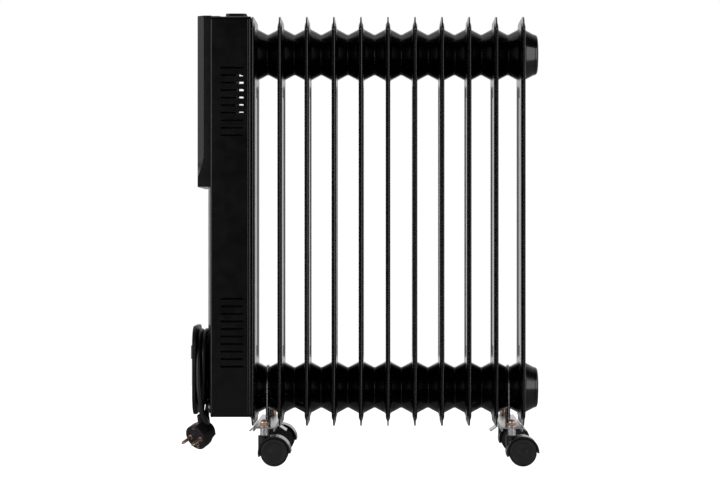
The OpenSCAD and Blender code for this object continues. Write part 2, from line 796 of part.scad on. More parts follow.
module u_bolts() {
    color("gainsboro") for (x = [front_foot_x, rear_foot_x]) translate([x, 0, 0]) {
        translate([0, 0, low_column_z]) rotate([90, 0, 90])
            rotate_extrude(angle = 180) translate([rod_gap, 0]) circle(r = rod_d / 2, $fn = 32);
        for (side = [-1, 1]) translate([0, side * rod_gap, rod_low_z])
            cylinder(h = low_column_z - rod_low_z + 0.01, r = rod_d / 2, $fn = 32);
    }
}

module u_bolt_nuts() {
    color("gainsboro") for (x = [front_foot_x, rear_foot_x], side = [-1, 1])
        translate([x, side * rod_gap, foot_top_z - foot_t - 3.4]) difference() {
            cylinder(h = 3.4, r = rod_d / 2 + 2.2, $fn = 6);
            translate([0, 0, -over]) cylinder(h = 6, r = rod_d / 2 + 0.02, $fn = 32);
        }
}

module at_casters() {
    for (x = [front_foot_x, rear_foot_x], side = [-1, 1])
        translate([x, side * caster_gap / 2, 0]) children();
}

stem_low_z = wheel_r + 6;
thread_r = 4;

module caster_stems() {
    color("silver") at_casters() {
        translate([0, 0, stem_low_z]) cylinder(h = hood_top_z + 1 - stem_low_z, r = stem_r);
        translate([0, 0, hood_top_z + pass_fit])
            cylinder(h = foot_top_z - foot_t - hood_top_z - pass_fit, r = 5.5);
        translate([0, 0, foot_top_z - foot_t - 0.01]) cylinder(h = foot_t + 5.5, r = thread_r);
    }
}

// Cap nuts with a flange and a domed end, open below for the thread.
module dome_nuts() {
    dome_r = 5.2;
    color([0.8, 0.6, 0.5]) at_casters() translate([0, 0, foot_top_z]) difference() {
        rotate_extrude($fn = 48) polygon(concat(
            [[0, 0], [6.9, 0], [6.9, 1], [dome_r + 0.6, 2.4], [dome_r, 5]],
            [for (a = [15 : 15 : 75]) [dome_r * cos(a), 5 + dome_r * sin(a)]],
            [[0, 5 + dome_r]]));
        translate([0, 0, -over]) cylinder(h = over + 7, r = thread_r + 0.05);
    }
}

// Screws through the reel's flange into its hub, and at the panel's foot.
module panel_screws() {
    color("gray") {
        for (side = [-1, 1]) translate([flange_x + 1.4 - 1.2, side * 26, flange_z - 36]) bar_x(1.2, 3, 3.4);
        difference() {
            for (side = [-1, 1]) translate([box_front_x - 3, side * (box_w / 2 - 9), box_floor_z + 14])
                bar_x(4, 3.2, 3.2);
            inside_panel(0);
        }
    }
}

// ---------------------------------------------------------------- casters

function corner_x(c) = c < 2 ? front_foot_x : rear_foot_x;
function corner_side(c) = c % 2 == 0 ? -1 : 1;

// Everything on a caster is drawn with its axle on the origin.
module at_axle(c) {
    translate([corner_x(c) + trail, corner_side(c) * caster_gap / 2, wheel_r]) children();
}

// Space below the hood's two ends, drawn in X and Z.
module below_hood() {
    far = 60;
    polygon([[0, 0], [far * cos(2), -far * sin(2)], [far, -far], [-far, -far],
             [-far * cos(15), -far * sin(15)]]);
}

// Socket for the stem, cut away where the wheels turn.
module hood_socket() {
    difference() {
        translate([-trail, 0, 4]) cylinder(h = hood_r - 4, r = 8.5);
        for (side = [-1, 1]) translate([0, side * (web_w + 40) / 2, 0])
            bar_y(40, wheel_r + hood_gap + hood_t / 2);
    }
}

module hood(c) {
    color([0.04, 0.04, 0.045]) at_axle(c) difference() {
        union() {
            along_y(caster_w) difference() {
                circle(r = hood_r);
                circle(r = wheel_r + hood_gap);
                below_hood();
            }
            along_y(web_w) difference() {
                circle(r = hood_r - hood_t / 2);
                difference() {
                    below_hood();
                    circle(r = 7);
                }
            }
            hood_socket();
        }
        bar_y(60, axle_r);
        translate([-trail, 0, stem_low_z - wheel_r - 0.5]) cylinder(h = 40, r = stem_r + run_fit);
    }
}

axle_l = web_w + 2 * (wheel_w - 2.5);

module axle(c) {
    color("silver") at_axle(c) bar_y(axle_l, axle_r);
}

// out is 1 for the wheel on the outside of the heater and -1 for the inner one.
module wheel(c, out) {
    side = out * corner_side(c);
    inner_y = web_w / 2 + 0.6;
    color([0.14, 0.14, 0.14]) at_axle(c) difference() {
        translate([0, side * (inner_y + wheel_w / 2), 0]) rotate([90, 0, 0]) rotate_extrude()
            polygon([[0, -wheel_w / 2], [wheel_r - 1, -wheel_w / 2], [wheel_r, -wheel_w / 2 + 1],
                     [wheel_r, wheel_w / 2 - 1], [wheel_r - 1, wheel_w / 2], [0, wheel_w / 2]]);
        bar_y(axle_l + 0.6, axle_r + run_fit);
    }
}

// ---------------------------------------------------------------- drawing

for (i = [1 : fin_count]) fin(i);
column_caps();
heating_element();
element_gasket();
housing_shell();
front_panel();
control_fascia();
carry_grip();
thermostat();
thermostat_knob();
rocker_low();
rocker_high();
switch_bodies();
pilot_lens();
inner_chassis();
terminal_block();
thermal_cutout();
tip_switch();
wiring();
cord_reel();
reel_flange();
plug_clip();
strain_relief();
cord_wrap();
cord_tail();
plug_body();
plug_contacts();
foot_plate_front();
foot_plate_rear();
u_bolts();
u_bolt_nuts();
dome_nuts();
caster_stems();
panel_screws();
for (c = [0 : 3]) {
    hood(c);
    axle(c);
    wheel(c, 1);
    wheel(c, -1);
}
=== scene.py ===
import math

import bmesh
import bpy
from mathutils import Euler, Matrix, Vector


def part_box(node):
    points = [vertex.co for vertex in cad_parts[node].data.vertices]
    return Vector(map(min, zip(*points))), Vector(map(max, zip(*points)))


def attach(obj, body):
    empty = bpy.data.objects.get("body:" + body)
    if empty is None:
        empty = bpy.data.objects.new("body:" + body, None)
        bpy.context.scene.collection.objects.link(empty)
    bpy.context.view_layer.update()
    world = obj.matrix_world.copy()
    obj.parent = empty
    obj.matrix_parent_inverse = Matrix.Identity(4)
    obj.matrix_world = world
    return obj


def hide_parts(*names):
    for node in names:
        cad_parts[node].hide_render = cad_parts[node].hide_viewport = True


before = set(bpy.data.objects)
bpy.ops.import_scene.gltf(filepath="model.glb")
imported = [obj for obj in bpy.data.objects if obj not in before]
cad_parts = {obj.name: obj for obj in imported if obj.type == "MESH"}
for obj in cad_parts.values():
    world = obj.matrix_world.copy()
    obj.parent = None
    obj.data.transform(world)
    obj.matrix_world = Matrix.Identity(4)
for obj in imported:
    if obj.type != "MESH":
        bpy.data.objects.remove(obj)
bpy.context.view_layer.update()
MM = 0.001
ROUND = 2 * math.pi


# ------------------------------------------------------------ camera and cord

eye = bpy.data.cameras.new("camera")
eye.sensor_width = 36
eye.lens = 114.2
eye.shift_x = -0.0361
eye.shift_y = 0.0023
camera = bpy.data.objects.new("camera", eye)
camera.location = (0.03075, -3.262, 0.309)
camera.rotation_euler = (math.pi / 2, 0, 0)
bpy.context.scene.collection.objects.link(camera)
bpy.context.scene.camera = camera

# The loose end, from the winding to the plug, in millimetres.
loose_end = [
    (-232.4, 48.6, 122), (-232.4, 49.5, 142), (-232.4, 44, 163), (-232.4, 30, 177),
    (-232.4, 11, 181.4), (-232.4, -12, 181.4), (-232.4, -32, 177), (-232.4, -48, 165),
    (-232.2, -58, 148), (-232, -62.5, 128), (-231.5, -64.5, 108), (-229.5, -64.5, 88),
    (-226.5, -60.5, 71), (-223.4, -52.5, 60), (-221.5, -39.5, 53.5), (-222, -23, 54),
    (-224.5, -6, 60), (-225.8, 10, 66), (-226, 26, 71.5), (-225.4, 42, 81.5),
    (-225.4, 53, 96.5), (-225.4, 57, 115), (-225.4, 56.5, 136), (-225.4, 51, 156),
    (-225.4, 38, 172.5), (-225.4, 19, 181), (-225.4, -5, 181.6), (-225.4, -24, 179.6),
    (-225.4, -41, 170.5), (-225.4, -52.5, 155), (-225.4, -56.5, 136), (-225.4, -57, 115),
    (-226, -53, 96.5), (-227.5, -43, 82.5), (-229.5, -30, 73.5), (-231, -19.5, 64.5),
    (-230.5, -13.5, 55)]
cord_d = 6.8

# The winding is a rounded square round the hub. It lies in two planes, and the cord crosses
# from one to the other in the same part of each turn.
wind_z = 127.5
wind_side, wind_top = 12.6, 14.6
wind_corner = 27.2
panel_plane, flange_plane = -225.5, -232.4
first_crossing, crossing = 0.42, 0.36
first_turn, turns, turn_steps = 0.045, 3.40, 190

# Where the cord leaves its strain relief, and the bend that leads it to the winding.
exit_y, exit_z, strand_x = -13.8, 144.5, -225.55
lead_in_r = 28


def ease(t):
    t = max(0.0, min(1.0, t))
    return t * t * (3 - 2 * t)


def crossed(turn, lap):
    """How far across this lap's crossing the cord is, from 0 to 1."""
    return ease((turn - first_crossing - lap) / crossing)


def lap_point(turn):
    """Where the winding is after this many turns, starting half way down the near side."""
    side, top = wind_side, wind_top
    corner = wind_corner + cord_d * crossed(turn, 1)
    over = crossed(turn, 0) - crossed(turn, 1) + crossed(turn, 2)
    plane = panel_plane + (flange_plane - panel_plane) * over
    arc = corner * math.pi / 2
    walk = (turn % 1) * (4 * side + 4 * top + 4 * arc)
    legs = [(side, (-1, -1), (0, -1)), (arc, 180), (2 * top, (-1, -1), (1, 0)), (arc, 270),
            (2 * side, (1, -1), (0, 1)), (arc, 0), (2 * top, (1, 1), (-1, 0)), (arc, 90),
            (side, (-1, 1), (0, -1))]
    for number, leg in enumerate(legs):
        if walk <= leg[0] or number == len(legs) - 1:
            break
        walk -= leg[0]
    if len(leg) == 2:
        middle = {180: (-top, -side), 270: (top, -side), 0: (top, side), 90: (-top, side)}[leg[1]]
        a = math.radians(leg[1]) + walk / corner
        return (plane, middle[0] + corner * math.cos(a), wind_z + middle[1] + corner * math.sin(a))
    starts = [(-top - corner, 0), None, (-top, -side - corner), None, (top + corner, -side), None,
              (top, side + corner), None, (-top - corner, side)]
    y, z = starts[number]
    return (plane, y + leg[2][0] * walk, wind_z + z + leg[2][1] * walk)


def finer(points):
    """The same route with a point added half way along each step, on a smooth curve."""
    def at(i):
        return Vector(points[max(0, min(len(points) - 1, i))])
    route = []
    for i in range(len(points) - 1):
        route += [at(i), (9 * (at(i) + at(i + 1)) - at(i - 1) - at(i + 2)) / 16]
    return route + [at(len(points) - 1)]


lead_in = [(panel_plane, exit_y - lead_in_r * math.sin(math.radians(a)),
            exit_z - lead_in_r + lead_in_r * math.cos(math.radians(a))) for a in range(0, 90, 9)]
winding = [lap_point(first_turn + turns * i / turn_steps) for i in range(turn_steps + 1)]
cord_route = [Vector(p) * MM for p in lead_in + winding] + [p * MM for p in finer(finer(loose_end))]
cord_curve = bpy.data.curves.new("mains_cord", "CURVE")
cord_curve.dimensions = "3D"
cord_curve.bevel_depth = cord_d / 2 * MM
cord_curve.bevel_resolution = 4
cord_curve.use_fill_caps = True
line = cord_curve.splines.new("POLY")
line.points.add(len(cord_route) - 1)
for point, place in zip(line.points, cord_route):
    point.co = (*place, 1)
cord = bpy.data.objects.new("mains_cord", cord_curve)
bpy.context.scene.collection.objects.link(cord)


# ------------------------------------------------------------ modelling moves

def pick_nothing():
    if bpy.context.mode != "OBJECT":
        bpy.ops.object.mode_set(mode="OBJECT")
    bpy.ops.object.select_all(action="DESELECT")


def take(piece):
    pick_nothing()
    piece.select_set(True)
    bpy.context.view_layer.objects.active = piece


def open_up(piece):
    take(piece)
    bpy.ops.object.mode_set(mode="EDIT")
    bpy.ops.mesh.select_mode(type="FACE")
    bpy.ops.mesh.select_all(action="DESELECT")


def pick_faces(piece, wanted):
    """Selects the faces whose middle and normal pass the test."""
    bpy.ops.mesh.select_mode(type="FACE")
    bpy.ops.mesh.select_all(action="DESELECT")
    shape = bmesh.from_edit_mesh(piece.data)
    for face in shape.faces:
        face.select_set(wanted(face.calc_center_median(), face.normal))
    bmesh.update_edit_mesh(piece.data)


def pick_edges(piece, wanted):
    """Selects the edges whose two ends pass the test."""
    bpy.ops.mesh.select_mode(type="EDGE")
    bpy.ops.mesh.select_all(action="DESELECT")
    shape = bmesh.from_edit_mesh(piece.data)
    for edge in shape.edges:
        edge.select_set(wanted(edge.verts[0].co, edge.verts[1].co))
    bmesh.update_edit_mesh(piece.data)


def push(x, y, z):
    bpy.ops.transform.translate(value=(x * MM, y * MM, z * MM))


def apply_tool(piece, kind, **settings):
    take(piece)
    tool = piece.modifiers.new(kind.title(), kind)
    for key, value in settings.items():
        setattr(tool, key, value)
    bpy.ops.object.modifier_apply(modifier=tool.name)


def settle(piece):
    """Puts the piece's place and turn into its mesh."""
    take(piece)
    bpy.ops.object.transform_apply(location=True, rotation=True, scale=True)


def turn_dial(piece, degrees, height):
    """Turns a shape about the knob's axis, which runs along X at this height."""
    piece.data.transform(Matrix.Rotation(math.radians(degrees), 4, "X"))
    piece.data.transform(Matrix.Translation((0, 0, height * MM)))
    return piece


def block(low, high, edge=0.6, segments=3):
    """A block between two corners in millimetres, with rounded edges."""
    pick_nothing()
    low, high = Vector(low) * MM, Vector(high) * MM
    bpy.ops.mesh.primitive_cube_add(size=1, location=(low + high) / 2)
    piece = bpy.context.object
    piece.scale = high - low
    settle(piece)
    if edge:
        apply_tool(piece, "BEVEL", width=edge * MM, segments=segments)
    return piece


def turned(profile, middle=(0, 0, 0), along=(0, 0, 1), steps=64):
    """A profile of (distance along the axis, radius) in millimetres, spun round the axis."""
    pick_nothing()
    bpy.ops.mesh.primitive_plane_add(size=MM)
    piece = bpy.context.object
    bpy.ops.object.mode_set(mode="EDIT")
    bpy.ops.mesh.select_mode(type="VERT")
    bpy.ops.mesh.select_all(action="SELECT")
    bpy.ops.mesh.merge(type="CENTER")
    push(profile[0][1], 0, profile[0][0])
    for (h0, r0), (h1, r1) in zip(profile, profile[1:]):
        bpy.ops.mesh.extrude_region_move(
            TRANSFORM_OT_translate={"value": ((r1 - r0) * MM, 0, (h1 - h0) * MM)})
    bpy.ops.mesh.select_all(action="SELECT")
    bpy.ops.mesh.spin(steps=steps, angle=ROUND, center=(0, 0, 0), axis=(0, 0, 1))
    bpy.ops.mesh.select_all(action="SELECT")
    bpy.ops.mesh.remove_doubles(threshold=0.004 * MM)
    bpy.ops.mesh.normals_make_consistent(inside=False)
    bpy.ops.object.mode_set(mode="OBJECT")
    piece.rotation_euler = Vector(along).to_track_quat("Z", "Y").to_euler()
    piece.location = Vector(middle) * MM
    settle(piece)
    return piece


def together(*parts):
    pick_nothing()
    for part in parts:
        part.select_set(True)
    bpy.context.view_layer.objects.active = parts[0]
    bpy.ops.object.join()
    return parts[0]


def copy_along(piece, distance):
    """A copy with its own mesh, this many metres further along the row."""
    copy = piece.copy()
    copy.data = piece.data.copy()
    copy.data.transform(Matrix.Translation((distance, 0, 0)))
    bpy.context.scene.collection.objects.link(copy)
    return copy


def softened(node, edge, segments=2, angle=35):
    """A node's own shape with its doubles merged and its sharp edges rounded."""
    piece = bpy.data.objects.new(node + "_soft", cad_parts[node].data.copy())
    bpy.context.scene.collection.objects.link(piece)
    open_up(piece)
    bpy.ops.mesh.select_all(action="SELECT")
    bpy.ops.mesh.remove_doubles(threshold=0.003 * MM)
    bpy.ops.mesh.dissolve_limited(angle_limit=math.radians(0.5))
    bpy.ops.object.mode_set(mode="OBJECT")
    if edge:
        apply_tool(piece, "BEVEL", width=edge * MM, segments=segments, limit_method="ANGLE",
                   angle_limit=math.radians(angle))
    return piece


def fit_out(piece, name, body, finish, stands_for=(), smooth=35):
    """Names a piece, gives it its finish and hangs it on its body."""
    settle(piece)
    bpy.ops.object.shade_smooth_by_angle(angle=math.radians(smooth))
    apply_tool(piece, "WEIGHTED_NORMAL", keep_sharp=True, weight=80)
    piece.name = name
    piece.data.name = name
    piece.data.materials.clear()
    piece.data.materials.append(finish)
    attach(piece, body)
    if stands_for:
        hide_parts(*stands_for)
    return piece


# --------------------------------------------------------------- finish groups

def new_group(name, takes, gives):
    group = bpy.data.node_groups.new(name, "ShaderNodeTree")
    for label, kind, value in takes:
        socket = group.interface.new_socket(label, in_out="INPUT", socket_type=kind)
        if value is not None:
            socket.default_value = value
    for label, kind in gives:
        group.interface.new_socket(label, in_out="OUTPUT", socket_type=kind)
    return group, group.nodes.new("NodeGroupInput"), group.nodes.new("NodeGroupOutput")


def add(tree, kind, **settings):
    node = tree.nodes.new(kind)
    for key, value in settings.items():
        setattr(node, key, value)
    return node


def noise(tree, place, scale, detail, roughness):
    node = add(tree, "ShaderNodeTexNoise")
    node.inputs["Detail"].default_value = detail
    node.inputs["Roughness"].default_value = roughness
    tree.links.new(place, node.inputs["Vector"])
    if isinstance(scale, (int, float)):
        node.inputs["Scale"].default_value = scale
    else:
        tree.links.new(scale, node.inputs["Scale"])
    return node.outputs["Fac"]


def maths(tree, operation, first, second):
    node = add(tree, "ShaderNodeMath", operation=operation)
    for socket, value in zip(node.inputs, (first, second)):
        if isinstance(value, (int, float)):
            socket.default_value = value
        else:
            tree.links.new(value, socket)
    return node.outputs[0]


def blended(tree, share, first, second):
    node = add(tree, "ShaderNodeMix", data_type="RGBA")
    tree.links.new(share, node.inputs[0])
    for socket, value in ((node.inputs[6], first), (node.inputs[7], second)):
        if isinstance(value, tuple):
            socket.default_value = value
        else:
            tree.links.new(value, socket)
    return node.outputs[2]


def spread(tree, value, from_low, from_high, to_low, to_high):
    node = add(tree, "ShaderNodeMapRange")
    tree.links.new(value, node.inputs["Value"])
    for label, number in (("From Min", from_low), ("From Max", from_high), ("To Min", to_low),
                          ("To Max", to_high)):
        if isinstance(number, (int, float)):
            node.inputs[label].default_value = number
        else:
            tree.links.new(number, node.inputs[label])
    return node.outputs["Result"]


# Dust that settles where the surface looks up, thicker in soft patches.
dusty, d_in, d_out = new_group(
    "settled dust",
    [("Colour", "NodeSocketColor", None), ("Dust", "NodeSocketColor", None),
     ("Amount", "NodeSocketFloat", 0.1), ("Place", "NodeSocketVector", None)],
    [("Colour", "NodeSocketColor"), ("Mask", "NodeSocketFloat")])
shape = add(dusty, "ShaderNodeNewGeometry")
parts = add(dusty, "ShaderNodeSeparateXYZ")
dusty.links.new(shape.outputs["Normal"], parts.inputs[0])
upward = spread(dusty, parts.outputs["Z"], -0.2, 1.0, 0.12, 1.0)
patches = spread(dusty, noise(dusty, d_in.outputs["Place"], 14.0, 5.0, 0.6), 0.35, 0.7, 0.3, 1.0)
specks = spread(dusty, noise(dusty, d_in.outputs["Place"], 900.0, 2.0, 0.7), 0.55, 0.75, 0.4, 1.0)
film = maths(dusty, "MULTIPLY", maths(dusty, "MULTIPLY", upward, patches), specks)
film = maths(dusty, "MULTIPLY", film, d_in.outputs["Amount"])
dusty.links.new(blended(dusty, film, d_in.outputs["Colour"], d_in.outputs["Dust"]),
                d_out.inputs["Colour"])
dusty.links.new(film, d_out.inputs["Mask"])

# Handling wear: a paler line along the outer edges, broken up by noise.
worn, w_in, w_out = new_group(
    "worn edge",
    [("Colour", "NodeSocketColor", None), ("Bare", "NodeSocketColor", None),
     ("Amount", "NodeSocketFloat", 0.3), ("Place", "NodeSocketVector", None)],
    [("Colour", "NodeSocketColor"), ("Mask", "NodeSocketFloat")])
shape = add(worn, "ShaderNodeNewGeometry")
rounding = add(worn, "ShaderNodeBevel", samples=4)
rounding.inputs["Radius"].default_value = 0.9 * MM
bend = add(worn, "ShaderNodeVectorMath", operation="DOT_PRODUCT")
worn.links.new(shape.outputs["Normal"], bend.inputs[0])
worn.links.new(rounding.outputs[0], bend.inputs[1])
ridge = spread(worn, bend.outputs["Value"], 0.96, 0.8, 0.0, 1.0)
broken = spread(worn, noise(worn, w_in.outputs["Place"], 160.0, 6.0, 0.7), 0.4, 0.62, 0.15, 1.0)
rub = maths(worn, "MULTIPLY", maths(worn, "MULTIPLY", ridge, broken), w_in.outputs["Amount"])
worn.links.new(blended(worn, rub, w_in.outputs["Colour"], w_in.outputs["Bare"]),
               w_out.inputs["Colour"])
worn.links.new(rub, w_out.inputs["Mask"])

# Skin of a coat or moulding: fine pebbles over a long soft ripple.
skin, s_in, s_out = new_group(
    "surface skin",
    [("Pebbles", "NodeSocketFloat", 800.0), ("Ripple", "NodeSocketFloat", 60.0),
     ("Share", "NodeSocketFloat", 0.5), ("Place", "NodeSocketVector", None)],
    [("Height", "NodeSocketFloat"), ("Patch", "NodeSocketFloat")])
pebble = noise(skin, s_in.outputs["Place"], s_in.outputs["Pebbles"], 4.0, 0.6)
ripple = noise(skin, s_in.outputs["Place"], s_in.outputs["Ripple"], 2.0, 0.4)
mixed = maths(skin, "ADD", maths(skin, "MULTIPLY", pebble, s_in.outputs["Share"]), ripple)
skin.links.new(mixed, s_out.inputs["Height"])
skin.links.new(ripple, s_out.inputs["Patch"])

# Drawing and plating streaks that run along X, Y or Z as the place is stretched.
streaky, k_in, k_out = new_group(
    "drawn streaks",
    [("Scale", "NodeSocketFloat", 300.0), ("Place", "NodeSocketVector", None)],
    [("Height", "NodeSocketFloat"), ("Cloud", "NodeSocketFloat")])
streak = noise(streaky, k_in.outputs["Place"], k_in.outputs["Scale"], 6.0, 0.65)
cloud = noise(streaky, k_in.outputs["Place"], 22.0, 4.0, 0.6)
streaky.links.new(streak, k_out.inputs["Height"])
streaky.links.new(cloud, k_out.inputs["Cloud"])


def use(tree, group, **values):
    node = add(tree, "ShaderNodeGroup", node_tree=group)
    for label, value in values.items():
        if isinstance(value, (int, float, tuple)):
            node.inputs[label].default_value = value
        else:
            tree.links.new(value, node.inputs[label])
    return node


def start_finish(name):
    finish = bpy.data.materials.new(name)
    finish.use_nodes = True
    tree = finish.node_tree
    tree.nodes.clear()
    out = add(tree, "ShaderNodeOutputMaterial")
    shader = add(tree, "ShaderNodeBsdfPrincipled")
    tree.links.new(shader.outputs[0], out.inputs[0])
    place = add(tree, "ShaderNodeTexCoord").outputs["Object"]
    return finish, tree, shader, place


def raised(tree, shader, height, depth, strength=1.0):
    bump = add(tree, "ShaderNodeBump")
    bump.inputs["Strength"].default_value = strength
    bump.inputs["Distance"].default_value = depth * MM
    tree.links.new(height, bump.inputs["Height"])
    tree.links.new(bump.outputs[0], shader.inputs["Normal"])


def coated(name, dark, light, rough, pebbles, ripple, share, depth, dust=0.1, wear=0.3,
           bare=(0.2, 0.2, 0.2, 1), coat=0.0, coat_rough=0.08, specular=0.5):
    """Paint or moulded plastic: two shades in soft patches, a skin, dust and worn edges."""
    finish, tree, shader, place = start_finish(name)
    body = use(tree, skin, Pebbles=pebbles, Ripple=ripple, Share=share, Place=place)
    patch = spread(tree, body.outputs["Patch"], 0.3, 0.7, 0.0, 1.0)
    colour = blended(tree, patch, (*dark, 1), (*light, 1))
    edge = use(tree, worn, Colour=colour, Bare=bare, Amount=wear, Place=place)
    top = use(tree, dusty, Colour=edge.outputs["Colour"], Dust=(0.42, 0.4, 0.37, 1), Amount=dust,
              Place=place)
    tree.links.new(top.outputs["Colour"], shader.inputs["Base Color"])
    base = spread(tree, patch, 0.0, 1.0, rough[0], rough[1])
    tree.links.new(maths(tree, "ADD", base, maths(tree, "MULTIPLY", top.outputs["Mask"], 0.5)),
                   shader.inputs["Roughness"])
    raised(tree, shader, body.outputs["Height"], depth)
    shader.inputs["Coat Weight"].default_value = coat
    shader.inputs["Coat Roughness"].default_value = coat_rough
    shader.inputs["Specular IOR Level"].default_value = specular
    return finish


def plated(name, bright, dull, rough, stretch, scale, depth, wear=0.2, dust=0.05):
    """Bare or plated metal with streaks along its length and a little tarnish."""
    finish, tree, shader, place = start_finish(name)
    lay = add(tree, "ShaderNodeMapping")
    lay.inputs["Scale"].default_value = stretch
    tree.links.new(place, lay.inputs["Vector"])
    marks = use(tree, streaky, Scale=scale, Place=lay.outputs[0])
    cloud = spread(tree, marks.outputs["Cloud"], 0.35, 0.7, 0.0, 1.0)
    colour = blended(tree, cloud, (*bright, 1), (*dull, 1))
    edge = use(tree, worn, Colour=colour, Bare=(0.9, 0.9, 0.9, 1), Amount=wear, Place=place)
    top = use(tree, dusty, Colour=edge.outputs["Colour"], Dust=(0.3, 0.28, 0.25, 1), Amount=dust,
              Place=place)
    tree.links.new(top.outputs["Colour"], shader.inputs["Base Color"])
    tree.links.new(spread(tree, marks.outputs["Height"], 0.3, 0.7, rough[0], rough[1]),
                   shader.inputs["Roughness"])
    raised(tree, shader, marks.outputs["Height"], depth)
    shader.inputs["Metallic"].default_value = 1.0
    return finish


enamel = coated("black baked enamel", (0.002, 0.002, 0.0021), (0.003, 0.003, 0.0032), (0.14, 0.2),
                420, 46, 0.12, 0.02, dust=0.004, wear=0.3, bare=(0.09, 0.09, 0.09, 1), coat=0.35,
                coat_rough=0.07)
powder = coated("satin black powder coat", (0.002, 0.002, 0.0021), (0.0028, 0.0028, 0.003),
                (0.2, 0.27), 1300, 70, 0.55, 0.012, dust=0.004, wear=0.3,
                bare=(0.12, 0.12, 0.12, 1), specular=0.4)
fascia_plastic = coated("gloss black plastic", (0.005, 0.005, 0.0052), (0.008, 0.008, 0.0083),
                        (0.2, 0.28), 900, 50, 0.25, 0.015, dust=0.01, wear=0.25,
                        bare=(0.12, 0.12, 0.12, 1))
grip_plastic = coated("grained black plastic", (0.004, 0.004, 0.004), (0.007, 0.007, 0.007),
                      (0.36, 0.46), 1600, 80, 0.9, 0.03, dust=0.01, wear=0.25,
                      bare=(0.1, 0.1, 0.1, 1))
knob_plastic = coated("knob plastic", (0.012, 0.012, 0.013), (0.018, 0.018, 0.019), (0.22, 0.3),
                      1200, 60, 0.35, 0.02, dust=0.04, wear=0.35, bare=(0.15, 0.15, 0.15, 1))
mark_paint = coated("pale printed marks", (0.6, 0.6, 0.58), (0.7, 0.7, 0.68), (0.45, 0.6), 1500, 90,
                    0.6, 0.01, dust=0.05, wear=0.0)
switch_plastic = coated("matt black plastic", (0.01, 0.01, 0.01), (0.017, 0.017, 0.017), (0.4, 0.5),
                        1400, 60, 0.8, 0.03, dust=0.04, wear=0.2)
rocker_plastic = coated("red rocker plastic", (0.3, 0.012, 0.01), (0.42, 0.025, 0.018),
                        (0.18, 0.28), 900, 120, 0.3, 0.015, dust=0.03, wear=0.15,
                        bare=(0.6, 0.2, 0.18, 1), coat=0.3)
lens_plastic = coated("amber lens", (0.55, 0.1, 0.012), (0.75, 0.2, 0.03), (0.12, 0.2), 500, 200,
                      0.6, 0.02, dust=0.02, wear=0.1, coat=0.5)
thermoset = coated("cream thermoset", (0.62, 0.58, 0.48), (0.74, 0.7, 0.6), (0.4, 0.55), 1100, 140,
                   0.7, 0.03, dust=0.15, wear=0.1, bare=(0.8, 0.78, 0.7, 1))
fibre = coated("pressed fibre", (0.16, 0.12, 0.08), (0.28, 0.21, 0.14), (0.75, 0.9), 1900, 320, 0.9,
               0.08, dust=0.1)
lead_sleeve = coated("lead insulation", (0.12, 0.04, 0.015), (0.2, 0.075, 0.03), (0.35, 0.5), 1000,
                     200, 0.4, 0.02)
cord_skin = coated("cord sheath", (0.01, 0.01, 0.0104), (0.016, 0.016, 0.0165), (0.34, 0.46), 1500,
                   90, 0.7, 0.03, dust=0.02, wear=0.0, specular=0.55)
plug_skin = coated("plug moulding", (0.009, 0.009, 0.0093), (0.014, 0.014, 0.0145), (0.42, 0.56),
                   1300, 80, 0.8, 0.04, dust=0.02, wear=0.25, bare=(0.12, 0.12, 0.12, 1))
reel_plastic = coated("reel plastic", (0.006, 0.006, 0.006), (0.01, 0.01, 0.01), (0.32, 0.44), 1100,
                      60, 0.7, 0.03, dust=0.015, wear=0.25, bare=(0.1, 0.1, 0.1, 1))
hood_nylon = coated("gloss black nylon", (0.003, 0.003, 0.0032), (0.005, 0.005, 0.0053),
                    (0.13, 0.2), 700, 70, 0.15, 0.015, dust=0.01, wear=0.4,
                    bare=(0.16, 0.16, 0.16, 1), coat=0.4)
wheel_nylon = coated("grey wheel nylon", (0.014, 0.014, 0.0143), (0.022, 0.022, 0.0225),
                     (0.5, 0.62), 1200, 110, 0.9, 0.05, dust=0.03, wear=0.3,
                     bare=(0.1, 0.1, 0.1, 1))
zinc = plated("zinc plated sheet", (0.5, 0.51, 0.53), (0.36, 0.37, 0.38), (0.28, 0.44),
              (1, 0.12, 1), 420, 0.02)
# Inner chassis steel coloured near black: painted shade, so the inside of the box seen through the
# vent slots reads dark.
slot_shade_steel = plated("steel darkened as painted shade", (0.05, 0.05, 0.052), (0.025, 0.025, 0.026),
                    (0.42, 0.6), (1, 1, 0.15), 380, 0.02, wear=0.1, dust=0.03)
drawn_steel = plated("bright drawn steel", (0.48, 0.48, 0.48), (0.33, 0.33, 0.33), (0.25, 0.4),
                     (0.1, 1, 1), 500, 0.02)
chrome = plated("bright plate", (0.9, 0.9, 0.92), (0.7, 0.7, 0.72), (0.1, 0.24), (1, 0.15, 0.6),
                380, 0.012, wear=0.3)
copper_plate = plated("copper coloured plate", (1.0, 0.74, 0.64), (0.86, 0.56, 0.46), (0.34, 0.48),
                      (1, 1, 0.3), 420, 0.015, wear=0.35)
contact_metal = plated("warm contact plate", (0.95, 0.72, 0.6), (0.75, 0.5, 0.4), (0.22, 0.36),
                       (1, 1, 0.4), 520, 0.012, wear=0.3)


def spot(node):
    """A node's lowest and highest corners, in millimetres."""
    low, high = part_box(node)
    return Vector(low) / MM, Vector(high) / MM


# ------------------------------------------------------------------- the cord

cord_curve.materials.append(cord_skin)
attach(cord, "root")
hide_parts("cord_wrap", "cord_tail")

# ------------------------------------------------------------------- the fins

fin_names = [f"fin_{number:02d}" for number in range(1, 12)]
fin_low, fin_high = spot("fin_01")
fin_half = (fin_high.x - fin_low.x) / 2
first_fin_x = fin_high.x - fin_half
pitch = spot("fin_02")[1].x - fin_high.x
fin_mid_z = (fin_low.z + fin_high.z) / 2
fin_w, fin_h = fin_high.y - fin_low.y, fin_high.z - fin_low.z
fin_corner = 25
low_column_rise, high_column_drop = 51, 49.5
low_column, high_column = fin_low.z + low_column_rise, fin_high.z - high_column_drop


